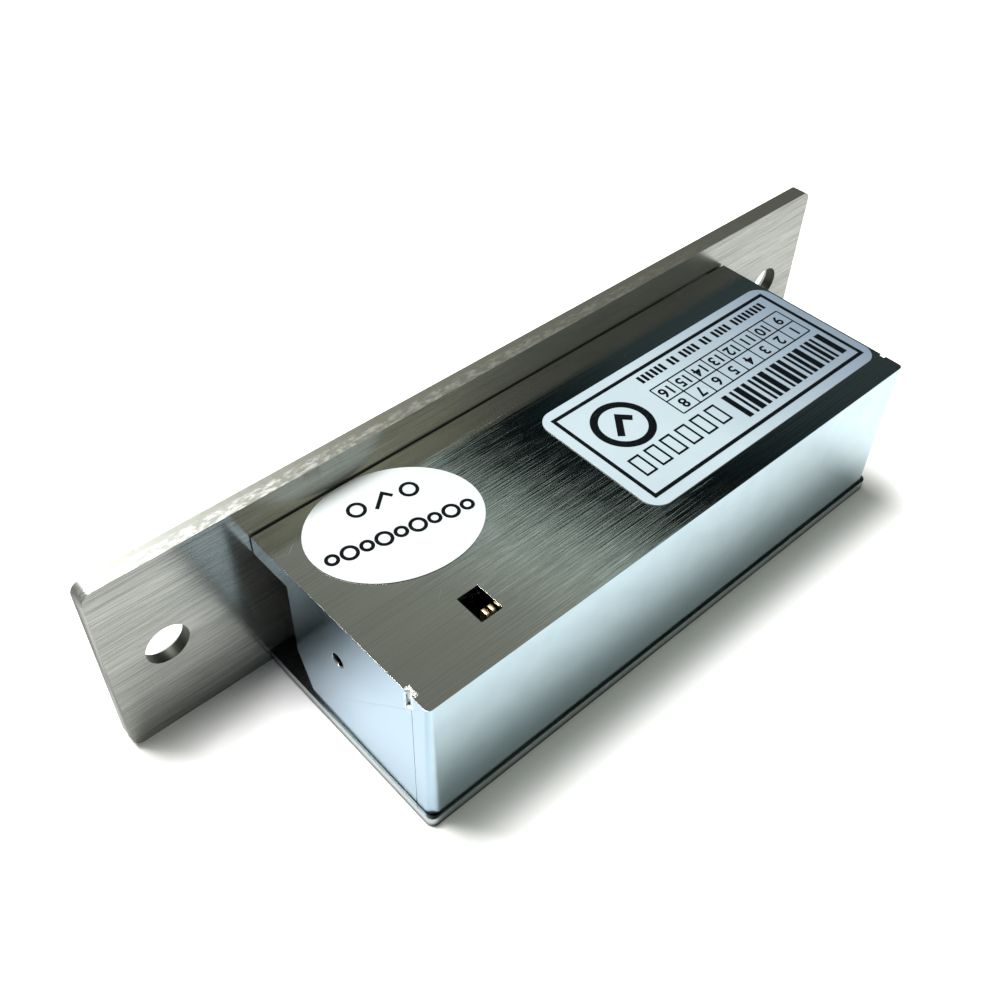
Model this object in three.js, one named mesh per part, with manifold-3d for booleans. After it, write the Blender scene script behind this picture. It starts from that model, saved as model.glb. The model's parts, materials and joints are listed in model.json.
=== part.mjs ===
// Electric door strike with a swinging keeper, fail-safe: the keeper is free until the coil is powered.
//
// Units are millimetres. The origin is the centre of the faceplate's front face.
// +X runs along the faceplate, +Y goes into the door frame, +Z points away from the side where the
// latch leaves. The keeper closes the latch pocket on the -Z side and swings about a pin along X.

import * as THREE from 'three';
import { mergeVertices } from 'three/addons/utils/BufferGeometryUtils.js';
import Module from 'manifold-3d';

const wasm = await Module();
wasm.setup();

// ---- driving dimensions -------------------------------------------------------------------------

const plate = { length: 150, width: 34, thickness: 3, cornerRadius: 1.8 };
const plateBack = plate.thickness;
const fixing = { spacing: 132, holeRadius: 3.4, bevel: 1.0 };
const latchOpening = { halfWidth: 18.2, top: -2.5, cornerRadius: 1.5 };

const sheet = 1.0;
const fitGap = 0.3;
const caseBox = { halfLength: 50.8, front: plateBack + 0.25, back: 41.5, top: 11.2, bottom: -14.4 };
const caseCorner = { radius: 1.5, rimRadius: 0.8, rimHeight: 0.3, flare: 5 };
const insideTop = caseBox.top - sheet;
const endNotch = { depth: 11.2, top: 7.8, chamferTop: -6.5, chamferDepth: 14.3 };
const endHole = { y: 22.1, z: 2.0, radius: 1.25 };
const cornerSeam = { y: [38.15, 38.3], depth: 0.15 };
const terminalWindow = { x: [32.9, 36.5], y: [30.3, 35.4] };
const cornerRelief = { width: 0.5, y: [37.2, 38.1], depth: 3 };

const cover = { halfLength: 51.2, back: 41.9, top: -14.7, bottom: -16.7, cornerRadius: 1.2 };
const coverNotch = { halfWidth: 19.4, back: 27 };

const pinRadius = 1.5;
const pinClearance = 0.08;
const clipShape = { neckRadius: 1.15, outerRadius: 3, thickness: 0.6 };
const keeperAxis = { y: 20, z: -9 };
const keeperWidth = 35.6;
const hubRadius = 3.6;
const tailRadius = 6.2;
const hubLugs = [[-17.8, -14.8], [-8, 8], [14.8, 17.8]];
const springSpan = [8.9, 13.9];

const cheek = { inner: 18.3, outer: 21.3, back: 24.5 };
const pocketCeiling = { bottom: -2.2, top: -0.4, back: 23.4 };
const frameWeb = { bottom: 7.6, top: insideTop - fitGap };
const framePost = { inner: 44, outer: 48.9, front: 11.6, frontBack: 20.5, rearFront: 32, back: 38.8 };
const frameBottom = cover.top + 0.5;
const caseScrew = { x: 31, z: 3.5, shankRadius: 2, length: 10.5, headRadius: 3.9, headDepth: 1.9 };
const coverScrew = { x: 46.4, y: [16, 36], shankRadius: 1.5, length: 8, headRadius: 2.7, headDepth: 1.2 };

const leverPivot = { x: -14, y: 36 };
const lever = { bottom: -3.2, top: -0.8, hubRadius: 4, armHalfWidth: 2.6 };
const leverNose = { halfWidth: 3.5, front: 27.4, back: 31, bottom: -7.5 };

const coilAxis = { y: 28, z: -2 };
const plunger = { radius: 3.5, inner: -35, outer: -11.5, slotBottom: -18, slotHalfHeight: 1.4 };
const linkPinRadius = 1;
const yoke = { left: -43.6, right: -22.3, plateThickness: 1.5, halfWidth: 8.5, bottom: -11.3, top: 7.3 };
const bobbin = { left: -41.7, right: -24.1, boreRadius: 3.8, tubeRadius: 4.6, flangeRadius: 7.5, flange: 1 };
const solenoidScrew = { x: [-38, -28], y: 22, radius: 1.25, headRadius: 2.1 };
const winding = { radius: 6.9, tapeRadius: 7.3 };

const block = { x: [27.5, 41.5], y: [26, 38.5], z: [-12.9, 2] };
const contact = { x: [33.1, 34.2], width: 0.7, y: [33.2, 34.9], bottom: -3.2, top: 10.3 };
const terminalScrew = { x: [30.6, 38.4], z: -5, radius: 1.2, headRadius: 2.1 };
const leadRadius = 0.7;

const labelThickness = 0.12;
const labelGap = 0.03;
const ovalLabel = { x: 34.1, y: 14.2, radiusX: 13.3, radiusY: 10.6, turn: -14.8 };
const mainLabel = { x: [-50.3, 4.6], y: [11.6, 37.1], cornerRadius: 3 };

// ---- materials ----------------------------------------------------------------------------------

function metal(color, roughness) {
  return new THREE.MeshStandardMaterial({ color, roughness, metalness: 1 });
}

function plastic(color, roughness) {
  return new THREE.MeshStandardMaterial({ color, roughness, metalness: 0 });
}

const brushedStainless = metal(0xb3b1a8, 0.35);
const brushedCaseSteel = metal(0x8f9196, 0.28);
const castZinc = metal(0x8a8c8e, 0.6);
const machinedSteel = metal(0xa9acb0, 0.3);
const springSteel = metal(0x6f7276, 0.35);
const softIron = metal(0x9a9c9c, 0.45);
const copperWire = metal(0xb5623a, 0.4);
const brass = metal(0xc9a35a, 0.3);
const blackPlastic = plastic(0x17181a, 0.5);
const whitePlastic = plastic(0xd9d7cf, 0.55);
const yellowTape = plastic(0xd8b53a, 0.45);
const redLead = plastic(0xa02420, 0.5);
const blackLead = plastic(0x1b1b1d, 0.5);
const labelFilm = plastic(0xf2f5f8, 0.4);

// ---- solid helpers ------------------------------------------------------------------------------

const X = new THREE.Vector3(1, 0, 0);
const Y = new THREE.Vector3(0, 1, 0);
const Z = new THREE.Vector3(0, 0, 1);

// Shares the vertices that coincide and drops the triangles that this leaves without an area.
function weld(geometry) {
  const bare = geometry.clone();
  bare.deleteAttribute('normal');
  bare.deleteAttribute('uv');
  const merged = mergeVertices(bare, 1e-4);
  const kept = [];
  const index = merged.index.array;
  for (let i = 0; i < index.length; i += 3) {
    const [a, b, c] = [index[i], index[i + 1], index[i + 2]];
    if (a !== b && b !== c && c !== a) kept.push(a, b, c);
  }
  merged.setIndex(kept);
  return merged;
}

function toSolid(geometry) {
  const welded = weld(geometry);
  return new wasm.Manifold(new wasm.Mesh({
    numProp: 3,
    vertProperties: new Float32Array(welded.attributes.position.array),
    triVerts: new Uint32Array(welded.index.array),
  }));
}

function toGeometry(solid) {
  const { vertProperties, triVerts } = solid.getMesh();
  const geometry = new THREE.BufferGeometry();
  geometry.setAttribute('position', new THREE.BufferAttribute(vertProperties, 3));
  geometry.setIndex(new THREE.BufferAttribute(triVerts, 1));
  return geometry;
}

function join(first, ...others) {
  return toGeometry(others.reduce((whole, next) => whole.add(toSolid(next)), toSolid(first)));
}

function cut(body, ...tools) {
  return toGeometry(tools.reduce((whole, tool) => whole.subtract(toSolid(tool)), toSolid(body)));
}

function hull(...shapes) {
  return toGeometry(wasm.Manifold.hull(shapes.map(toSolid)));
}

function box([x0, x1], [y0, y1], [z0, z1]) {
  const geometry = new THREE.BoxGeometry(x1 - x0, y1 - y0, z1 - z0);
  return geometry.translate((x0 + x1) / 2, (y0 + y1) / 2, (z0 + z1) / 2);
}

// A shape drawn in XY, raised from z0 to z1.
function raise(shape, [z0, z1], curveSegments = 10) {
  const geometry = new THREE.ExtrudeGeometry(shape, { depth: z1 - z0, bevelEnabled: false, curveSegments });
  return geometry.translate(0, 0, z0);
}

// A shape drawn in (y, z), extruded along X from x0 to x1.
function alongX(shape, range, curveSegments) {
  return raise(shape, range, curveSegments).applyMatrix4(new THREE.Matrix4().makeBasis(Y, Z, X));
}

// A shape drawn in (x, z), extruded along Y from y0 to y1.
function alongY(shape, [y0, y1], curveSegments) {
  const turned = new THREE.Matrix4().makeBasis(X, Z, Y.clone().negate());
  return raise(shape, [-y1, -y0], curveSegments).applyMatrix4(turned);
}

// A round bar along X, Y or Z through the point (x, y, z) of its axis.
function rod(axis, radius, [from, to], [x, y, z], sides = 24) {
  const geometry = new THREE.CylinderGeometry(radius, radius, to - from, sides);
  if (axis === 'x') return geometry.rotateZ(-Math.PI / 2).translate((from + to) / 2, y, z);
  if (axis === 'y') return geometry.translate(x, (from + to) / 2, z);
  return geometry.rotateX(Math.PI / 2).translate(x, y, (from + to) / 2);
}

// A turned piece: profile points are (radius, distance along the local Z axis).
function turned(profile, sides = 20) {
  const points = profile.map(([radius, along]) => new THREE.Vector2(radius, along));
  return new THREE.LatheGeometry(points, sides).rotateX(Math.PI / 2);
}

function outline(points) {
  return new THREE.Shape(points.map(([x, y]) => new THREE.Vector2(x, y)));
}

function roundedRectangle([x0, x1], [y0, y1], radius) {
  const shape = new THREE.Shape();
  shape.moveTo(x0 + radius, y0);
  shape.lineTo(x1 - radius, y0);
  shape.absarc(x1 - radius, y0 + radius, radius, -Math.PI / 2, 0);
  shape.lineTo(x1, y1 - radius);
  shape.absarc(x1 - radius, y1 - radius, radius, 0, Math.PI / 2);
  shape.lineTo(x0 + radius, y1);
  shape.absarc(x0 + radius, y1 - radius, radius, Math.PI / 2, Math.PI);
  shape.lineTo(x0, y0 + radius);
  shape.absarc(x0 + radius, y0 + radius, radius, Math.PI, 1.5 * Math.PI);
  return shape;
}

// The case seen from above: square at the front, two round corners at the back.
function casePlan(halfLength, front, back, radius) {
  const shape = new THREE.Shape();
  shape.moveTo(-halfLength, front);
  shape.lineTo(halfLength, front);
  shape.lineTo(halfLength, back - radius);
  shape.absarc(halfLength - radius, back - radius, radius, 0, Math.PI / 2);
  shape.lineTo(-halfLength + radius, back);
  shape.absarc(-halfLength + radius, back - radius, radius, Math.PI / 2, Math.PI);
  shape.closePath();
  return shape;
}

function wireAlong(points, radius, sides, steps) {
  const section = new THREE.Shape();
  section.absarc(0, 0, radius, 0, 2 * Math.PI);
  const path = new THREE.CatmullRomCurve3(points, false, 'centripetal');
  return new THREE.ExtrudeGeometry(section, { steps, extrudePath: path, curveSegments: sides / 2 });
}

// A left-hand torsion spring about the local Z axis. Its coil starts at startAngle and winds on
// for the given turns, and each end runs on as a straight tangent leg.
function torsionSpring({ meanRadius, wireRadius, startAngle, turns, rise, legs: [startLeg, endLeg] }) {
  const stepsPerTurn = 11;
  const steps = Math.round(turns * stepsPerTurn);
  const points = [];
  for (let i = 0; i <= steps; i += 1) {
    const angle = startAngle - (2 * Math.PI * turns * i) / steps;
    const height = (rise * i) / steps;
    points.push(new THREE.Vector3(meanRadius * Math.cos(angle), meanRadius * Math.sin(angle), height));
  }
  const endAngle = startAngle - 2 * Math.PI * turns;
  const startTangent = new THREE.Vector3(-Math.sin(startAngle), Math.cos(startAngle), 0);
  const endTangent = new THREE.Vector3(Math.sin(endAngle), -Math.cos(endAngle), 0);
  points.unshift(points[0].clone().addScaledVector(startTangent, startLeg));
  points.push(points[points.length - 1].clone().addScaledVector(endTangent, endLeg));
  return wireAlong(points, wireRadius, 8, steps + 6);
}

// ---- faceplate and case -------------------------------------------------------------------------

function countersunkHole(x, z, holeRadius, mouthRadius, mouthDepth) {
  const profile = [[0, -1], [mouthRadius, -1], [mouthRadius, 0], [holeRadius, mouthDepth],
    [holeRadius, plateBack + 1], [0, plateBack + 1]];
  return turned(profile, 40).rotateX(-Math.PI / 2).translate(x, 0, z);
}

function makeFaceplate() {
  const half = { x: plate.length / 2, z: plate.width / 2 };
  const earInner = caseBox.halfLength + 1.9;
  const middle = box([-earInner, earInner], [0, plateBack], [-half.z, half.z]);
  const full = roundedRectangle([-half.x, half.x], [-half.z, half.z], plate.cornerRadius);
  const ears = cut(alongY(full, [0, plateBack]), middle);
  const slot = roundedRectangle([-latchOpening.halfWidth, latchOpening.halfWidth],
    [-half.z - 5, latchOpening.top], latchOpening.cornerRadius);
  const holes = [-1, 1].map((side) => countersunkHole(side * fixing.spacing / 2, 0,
    fixing.holeRadius, fixing.holeRadius + fixing.bevel, fixing.bevel));
  const screwSeats = [-1, 1].map((side) => countersunkHole(side * caseScrew.x, caseScrew.z,
    caseScrew.shankRadius + 0.2, caseScrew.headRadius + 0.2, caseScrew.headDepth));
  return cut(join(middle, ears), alongY(slot, [-1, plateBack + 1]), ...holes, ...screwSeats);
}

// The walls' corners are rounder than the top sheet's, and flare out to meet it under its rim.
function makeHousingShell() {
  const { halfLength, front, back, top, bottom } = caseBox;
  const { radius, rimRadius, rimHeight, flare } = caseCorner;
  const outside = hull(raise(casePlan(halfLength, front, back, rimRadius), [top - rimHeight, top]),
    raise(casePlan(halfLength, front, back, radius), [bottom, top - flare]));
  const hollow = raise(casePlan(halfLength - sheet, front - 1, back - sheet, radius - sheet),
    [bottom - 1, insideTop]);
  const notch = outline([[front - 1, endNotch.top], [front - 1, bottom - 1],
    [endNotch.chamferDepth, bottom - 1], [endNotch.chamferDepth, bottom],
    [endNotch.depth, endNotch.chamferTop], [endNotch.depth, endNotch.top]]);
  const wallSpan = [halfLength - sheet - 0.5, halfLength + 0.5];
  const tools = [hollow];
  for (const side of [-1, 1]) {
    const span = side > 0 ? wallSpan : [-wallSpan[1], -wallSpan[0]];
    const outward = (depth) => {
      const reach = [side * (halfLength - depth), side * (halfLength + 0.5)];
      return reach.sort((a, b) => a - b);
    };
    tools.push(alongX(notch, span));
    tools.push(box(outward(cornerRelief.width), cornerRelief.y, [top - cornerRelief.depth, top + 1]));
    tools.push(box(outward(cornerSeam.depth), cornerSeam.y, [bottom - 1, top - cornerRelief.depth]));
  }
  tools.push(rod('x', endHole.radius, wallSpan, [0, endHole.y, endHole.z]));
  tools.push(box(terminalWindow.x, terminalWindow.y, [insideTop - 1, top + 1]));
  return cut(outside, ...tools);
}

function makeBottomCover() {
  const slab = raise(casePlan(cover.halfLength, caseBox.front, cover.back, cover.cornerRadius),
    [cover.bottom, cover.top]);
  const notch = box([-coverNotch.halfWidth, coverNotch.halfWidth],
    [caseBox.front - 1, coverNotch.back], [cover.bottom - 1, cover.top + 1]);
  const seats = [];
  const seat = [[0, -1], [coverScrew.headRadius + 0.15, -1], [coverScrew.headRadius + 0.15, 0],
    [coverScrew.shankRadius + 0.15, coverScrew.headDepth], [coverScrew.shankRadius + 0.15, 5], [0, 5]];
  for (const x of [-coverScrew.x, coverScrew.x]) {
    for (const y of coverScrew.y) seats.push(turned(seat).translate(x, y, cover.bottom));
  }
  return cut(slab, notch, ...seats);
}

// A countersunk cross-head screw. Its head's flat top is at z = 0 and its shank runs up +Z.
function countersunkScrew({ shankRadius, length, headRadius, headDepth }) {
  const body = turned([[0, 0], [headRadius, 0], [shankRadius, headDepth], [shankRadius, length - 0.6],
    [shankRadius - 0.6, length], [0, length]], 28);
  const armLength = headRadius * 0.58;
  const armWidth = headRadius * 0.14;
  const depth = [-0.5, headDepth * 0.75];
  const arms = join(box([-armLength, armLength], [-armWidth, armWidth], depth),
    box([-armWidth, armWidth], [-armLength, armLength], depth));
  return cut(body, arms);
}

// ---- cast frame that carries the mechanism ------------------------------------------------------

function makeCastFrame() {
  const { inner, outer, front, frontBack, rearFront, back } = framePost;
  const webRange = [frameWeb.bottom, frameWeb.top];
  const height = [frameBottom, frameWeb.bottom + 0.5];
  const parts = [
    box([-outer, outer], [front, 24], webRange),
    box([-36, 36], [caseBox.front, front + 1], webRange),
    box([-20, -8], [23, back], webRange),
    box([-cheek.inner - 1, cheek.inner + 1], [caseBox.front, pocketCeiling.back],
      [pocketCeiling.bottom, pocketCeiling.top]),
    box([-20, -18.4], [34.1, 36], [4, frameWeb.bottom + 0.5]),
  ];
  for (const side of [-1, 1]) {
    const span = (a, b) => [Math.min(side * a, side * b), Math.max(side * a, side * b)];
    parts.push(box(span(inner, outer), [front, back], webRange));
    parts.push(box(span(inner, outer), [front, frontBack], height));
    parts.push(box(span(inner, outer), [rearFront, back], height));
    parts.push(box(span(cheek.inner, cheek.outer), [caseBox.front, cheek.back], height));
    parts.push(box(span(cheek.outer - 1, 36), [caseBox.front, front + 0.5], [-1, frameWeb.bottom + 0.5]));
  }
  const holes = [rod('x', pinRadius + pinClearance, [-25, 25], [0, keeperAxis.y, keeperAxis.z])];
  holes.push(rod('z', pinRadius + pinClearance, [4, 12], [leverPivot.x, leverPivot.y, 0]));
  for (const side of [-1, 1]) {
    holes.push(rod('y', caseScrew.shankRadius + 0.1, [0, 14], [side * caseScrew.x, 0, caseScrew.z]));
    for (const y of coverScrew.y) {
      holes.push(rod('z', coverScrew.shankRadius + 0.1, [-16, -6], [side * coverScrew.x, y, 0]));
    }
  }
  for (const x of solenoidScrew.x) {
    holes.push(rod('z', solenoidScrew.radius + 0.1, [4, 12], [x, solenoidScrew.y, 0], 16));
  }
  return cut(join(...parts), ...holes);
}

// ---- keeper -------------------------------------------------------------------------------------

// The blade that closes the pocket: a flat bar whose front edge fills the faceplate's opening.
function keeperBlade() {
  const blade = outline([[0.5, -16.4], [0.9, -16.7], [3, -16.7], [14.6, -15.9], [16.4, -15.2], [16.4, -13.2],
    [15.2, -14.2], [1.4, -14.2], [0.5, -14.8]]);
  return alongX(blade, [-keeperWidth / 2, keeperWidth / 2]);
}

// One hub lug: a disc about the pin with a web that runs forward into the blade.
function keeperLug(span) {
  const { y, z } = keeperAxis;
  const web = outline([
    [14.8, -15.9], [17.4, -14.9], [22.2, -11.85], [20, -9], [17.2, -6.75], [15.2, -13.6],
  ]);
  return join(rod('x', hubRadius, span, [0, y, z], 32), alongX(web, span));
}

function makeKeeper() {
  const { y, z } = keeperAxis;
  const lugs = hubLugs.map(keeperLug);
  const tail = alongX(outline([[y, z - 1.4], [y + 6, z - 1.4], [y + 6, z + 1.2], [y, z + 1.2]]), [-4, 4]);
  const bore = rod('x', pinRadius + pinClearance, [-20, 20], [0, y, z]);
  const sweep = rod('x', tailRadius, [-5, 5], [0, y, z], 48);
  const roundedTail = toGeometry(toSolid(tail).intersect(toSolid(sweep)));
  return cut(join(keeperBlade(), ...lugs, roundedTail), bore);
}

// A pin along the local Z axis, with a thin head at its start and a retaining groove near its end.
function headedPin({ head, from, to, groove: [grooveStart, grooveEnd] }) {
  const neck = pinRadius - 0.4;
  return turned([[0, from - head.thickness], [head.radius, from - head.thickness], [head.radius, from],
    [pinRadius, from], [pinRadius, grooveStart], [neck, grooveStart], [neck, grooveEnd],
    [pinRadius, grooveEnd], [pinRadius, to - 0.3], [pinRadius - 0.3, to], [0, to]]);
}

// An E-clip: a flat ring open on one side, lying in XY with its lower face at z = 0.
function retainingClip({ neckRadius, outerRadius, thickness }) {
  const opening = 0.45;
  const shape = new THREE.Shape();
  shape.absarc(0, 0, outerRadius, opening, 2 * Math.PI - opening);
  shape.lineTo(neckRadius * Math.cos(opening), -neckRadius * Math.sin(opening));
  shape.absarc(0, 0, neckRadius, 2 * Math.PI - opening, opening, true);
  shape.closePath();
  return raise(shape, [0, thickness], 9);
}

// ---- lock lever ---------------------------------------------------------------------------------

function makeLockLever() {
  const { x, y } = leverPivot;
  const { bottom, top, hubRadius: radius, armHalfWidth } = lever;
  const range = [bottom, top];
  const noseArm = raise(outline([[x + 1, y + 3.2], [x - 1.5, y - 2], [-leverNose.halfWidth, leverNose.front],
    [leverNose.halfWidth, leverNose.front], [leverNose.halfWidth, leverNose.back], [-5, 33.2]]), range);
  const fork = box([x - armHalfWidth, x + armHalfWidth], [26.4, y], range);
  const forkSlot = join(box([x - 1.15, x + 1.15], [25, 28.4], [bottom - 1, top + 1]),
    rod('z', 1.15, [bottom - 1, top + 1], [x, 28.4, 0], 16));
  const nose = box([-leverNose.halfWidth, leverNose.halfWidth], [leverNose.front, leverNose.back],
    [leverNose.bottom, top]);
  const springTab = box([-7.2, -5.8], [34.1, 35.3], [bottom, top + 2.4]);
  const tabRoot = box([-9.5, -5.8], [31.6, 35.3], range);
  const bore = rod('z', pinRadius + pinClearance, [bottom - 1, top + 1], [x, y, 0]);
  const body = join(rod('z', radius, range, [x, y, 0], 32), noseArm, fork, nose, tabRoot, springTab);
  return cut(body, forkSlot, bore);
}

// ---- solenoid -----------------------------------------------------------------------------------

function makeSolenoidYoke() {
  const { left, right, plateThickness, halfWidth, bottom, top } = yoke;
  const across = [coilAxis.y - halfWidth, coilAxis.y + halfWidth];
  const arm = [left, right - plateThickness - 0.2];
  const parts = [
    box([left, left + plateThickness], across, [bottom, top]),
    box(arm, across, [top - plateThickness, top]),
    box(arm, across, [bottom, bottom + plateThickness]),
  ];
  const { y, radius } = solenoidScrew;
  const holes = solenoidScrew.x.map((x) => rod('z', radius + 0.1, [4, 9], [x, y, 0], 16));
  holes.push(rod('x', 2.1, [left - 1, left + 3], [0, coilAxis.y, coilAxis.z]));
  return cut(join(...parts), ...holes);
}

function makeSolenoidEndPlate() {
  const { right, plateThickness, halfWidth, bottom, top } = yoke;
  const slab = box([right - plateThickness, right],
    [coilAxis.y - halfWidth, coilAxis.y + halfWidth], [bottom, top]);
  return cut(slab, rod('x', plunger.radius + 0.3, [right - 4, right + 2], [0, coilAxis.y, coilAxis.z], 32));
}

// The next four pieces are turned about the coil's axis: local Z becomes X when they are placed.
function makeBobbin() {
  const { left, right, boreRadius, tubeRadius, flangeRadius, flange } = bobbin;
  return turned([[boreRadius, left], [flangeRadius, left], [flangeRadius, left + flange],
    [tubeRadius, left + flange], [tubeRadius, right - flange], [flangeRadius, right - flange],
    [flangeRadius, right], [boreRadius, right], [boreRadius, left]], 24);
}

function ring(innerRadius, outerRadius, [from, to]) {
  return turned([[innerRadius, from], [outerRadius, from], [outerRadius, to], [innerRadius, to],
    [innerRadius, from]], 24);
}

function makeFixedCore() {
  const face = plunger.inner - 2.5;
  return turned([[0, yoke.left - 0.6], [2, yoke.left - 0.6], [2, yoke.left + 1.8], [3.5, yoke.left + 1.8],
    [3.5, face], [0, face]]);
}

function makePlunger() {
  const { radius, inner, outer, slotBottom, slotHalfHeight } = plunger;
  const { y, z } = coilAxis;
  const bar = rod('x', radius, [inner, outer], [0, y, z], 32);
  const slot = box([slotBottom, outer + 1], [y - radius - 1, y + radius + 1],
    [z - slotHalfHeight, z + slotHalfHeight]);
  const pinHole = rod('z', linkPinRadius + 0.06, [z - 6, z + 6], [leverPivot.x, y, 0], 16);
  return cut(bar, slot, pinHole);
}

// ---- terminals and leads ------------------------------------------------------------------------

function makeTerminalBlock() {
  const clearance = 0.1;
  const body = box(block.x, block.y, block.z);
  const shoulder = box([block.x[0] - 1, contact.x[0] - 1.2], [30, block.y[1] + 1], [-2, block.z[1] + 1]);
  const slots = contact.x.map((x) => box([x - clearance, x + contact.width + clearance],
    [contact.y[0] - clearance, contact.y[1] + clearance], [contact.bottom - 0.2, block.z[1] + 1]));
  const screwHoles = terminalScrew.x.map((x) => rod('y', terminalScrew.radius + 0.1,
    [block.y[0] - 1, block.y[0] + 4.4], [x, 0, terminalScrew.z], 16));
  return cut(body, shoulder, ...slots, ...screwHoles);
}

// A slotted cheese-head screw: the shank runs along +Z from the underside of the head at z = 0.
function cheeseHeadScrew(radius, headRadius, length) {
  const body = turned([[0, -1.5], [headRadius - 0.2, -1.5], [headRadius, -1.3], [headRadius, 0], [radius, 0],
    [radius, length], [0, length]], 16);
  return cut(body, box([-0.3, 0.3], [-headRadius - 1, headRadius + 1], [-2, -0.8]));
}

function makeContact(x) {
  const [front, back] = contact.y;
  const blade = outline([[front, contact.bottom], [back, contact.bottom], [back, contact.top - 0.8],
    [back - 0.6, contact.top], [front, contact.top]]);
  return alongX(blade, [x, x + contact.width]);
}

// A lead from the coil along the back wall to the terminal block. The points are laid by hand.
function makeLead(drop) {
  const route = [[-29, 36.2, -5.0], [-25.4, 37.7, -5.8], [-20, 38.6, -7.0], [-6, 38.7, -7.6], [6, 38.5, -7.4],
    [17, 38.3, -7.2], [24, 37.4, -6.4], [27.1, 35.6, -6.2]];
  const points = route.map(([x, y, z]) => new THREE.Vector3(x, y - drop * 0.1, z - drop));
  return wireAlong(points, leadRadius, 8, 26);
}

// ---- labels -------------------------------------------------------------------------------------

const labelRange = [caseBox.top + labelGap, caseBox.top + labelGap + labelThickness];

function makeOvalLabel() {
  const shape = new THREE.Shape();
  shape.absellipse(0, 0, ovalLabel.radiusX, ovalLabel.radiusY, 0, 2 * Math.PI);
  return raise(shape, labelRange, 32);
}

function makeMainLabel() {
  return raise(roundedRectangle(mainLabel.x, mainLabel.y, mainLabel.cornerRadius), labelRange, 8);
}

// ---- assembly -----------------------------------------------------------------------------------

function piece(name, geometry, material) {
  const shape = weld(geometry).toNonIndexed();
  shape.computeVertexNormals();
  const mesh = new THREE.Mesh(shape, material);
  mesh.name = name;
  return mesh;
}

function at(mesh, x, y, z) {
  mesh.position.set(x, y, z);
  return mesh;
}

// Stands a piece that was made along Z in the direction of +X or +Y.
function layAlongX(mesh) {
  mesh.rotation.y = Math.PI / 2;
  return mesh;
}

function layAlongY(mesh) {
  mesh.rotation.x = -Math.PI / 2;
  return mesh;
}

function buildCase() {
  const group = new THREE.Group();
  group.add(piece('faceplate', makeFaceplate(), brushedStainless));
  group.add(piece('housing_shell', makeHousingShell(), brushedCaseSteel));
  group.add(piece('bottom_cover', makeBottomCover(), brushedCaseSteel));
  group.add(piece('cast_frame', makeCastFrame(), castZinc));
  ['left', 'right'].forEach((name, i) => {
    const screw = piece(`case_screw_${name}`, countersunkScrew(caseScrew), machinedSteel);
    group.add(at(layAlongY(screw), (i === 0 ? 1 : -1) * caseScrew.x, 0.1, caseScrew.z));
  });
  let number = 0;
  for (const x of [-coverScrew.x, coverScrew.x]) {
    for (const y of coverScrew.y) {
      number += 1;
      const screw = piece(`cover_screw_${number}`, countersunkScrew(coverScrew), machinedSteel);
      group.add(at(screw, x, y, cover.bottom + 0.1));
    }
  }
  const oval = piece('oval_label', makeOvalLabel(), labelFilm);
  oval.rotation.z = THREE.MathUtils.degToRad(ovalLabel.turn);
  group.add(at(oval, ovalLabel.x, ovalLabel.y, 0));
  group.add(piece('main_label', makeMainLabel(), labelFilm));
  return group;
}

function buildKeeper() {
  const group = new THREE.Group();
  group.add(piece('keeper', makeKeeper(), machinedSteel));
  const groove = [cheek.outer + 0.2, cheek.outer + 1.0];
  const pinShape = headedPin({ head: { radius: 2.3, thickness: 0.5 }, from: -cheek.outer - 0.1,
    to: cheek.outer + 2, groove });
  group.add(at(layAlongX(piece('keeper_pin', pinShape, machinedSteel)), 0, keeperAxis.y, keeperAxis.z));
  const clip = piece('keeper_pin_clip', retainingClip(clipShape), springSteel);
  group.add(at(layAlongX(clip), groove[0] + 0.1, keeperAxis.y, keeperAxis.z));
  for (const side of [1, -1]) {
    const name = side > 0 ? 'left' : 'right';
    const coil = torsionSpring({ meanRadius: 2.4, wireRadius: 0.35, startAngle: 0, turns: 4.19,
      rise: springSpan[1] - springSpan[0], legs: [5.9, 4.4] });
    const spring = piece(`keeper_spring_${name}`, alignZtoX(coil), springSteel);
    const start = side > 0 ? springSpan[0] : -springSpan[1];
    group.add(at(spring, start, keeperAxis.y, keeperAxis.z));
  }
  return group;
}

function alignZtoX(geometry) {
  return geometry.applyMatrix4(new THREE.Matrix4().makeBasis(Y, Z, X));
}

function buildLockLever() {
  const group = new THREE.Group();
  group.add(piece('lock_lever', makeLockLever(), machinedSteel));
  const groove = [-lever.bottom + 0.2, -lever.bottom + 1.0];
  const pinShape = headedPin({ head: { radius: 1.9, thickness: 0.2 }, from: -frameWeb.top - 0.05,
    to: groove[1] + 0.9, groove });
  const pin = piece('lever_pin', pinShape, machinedSteel);
  pin.rotation.x = Math.PI;
  group.add(at(pin, leverPivot.x, leverPivot.y, 0));
  const clip = piece('lever_pin_clip', retainingClip(clipShape), springSteel);
  group.add(at(clip, leverPivot.x, leverPivot.y, -groove[0] - 0.1 - clipShape.thickness));
  const coil = torsionSpring({ meanRadius: 2.4, wireRadius: 0.3, startAngle: -Math.PI / 2, turns: 4,
    rise: 5.2, legs: [8.6, 6.2] });
  group.add(at(piece('lever_spring', coil, springSteel), leverPivot.x, leverPivot.y, 0.2));
  return group;
}

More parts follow.
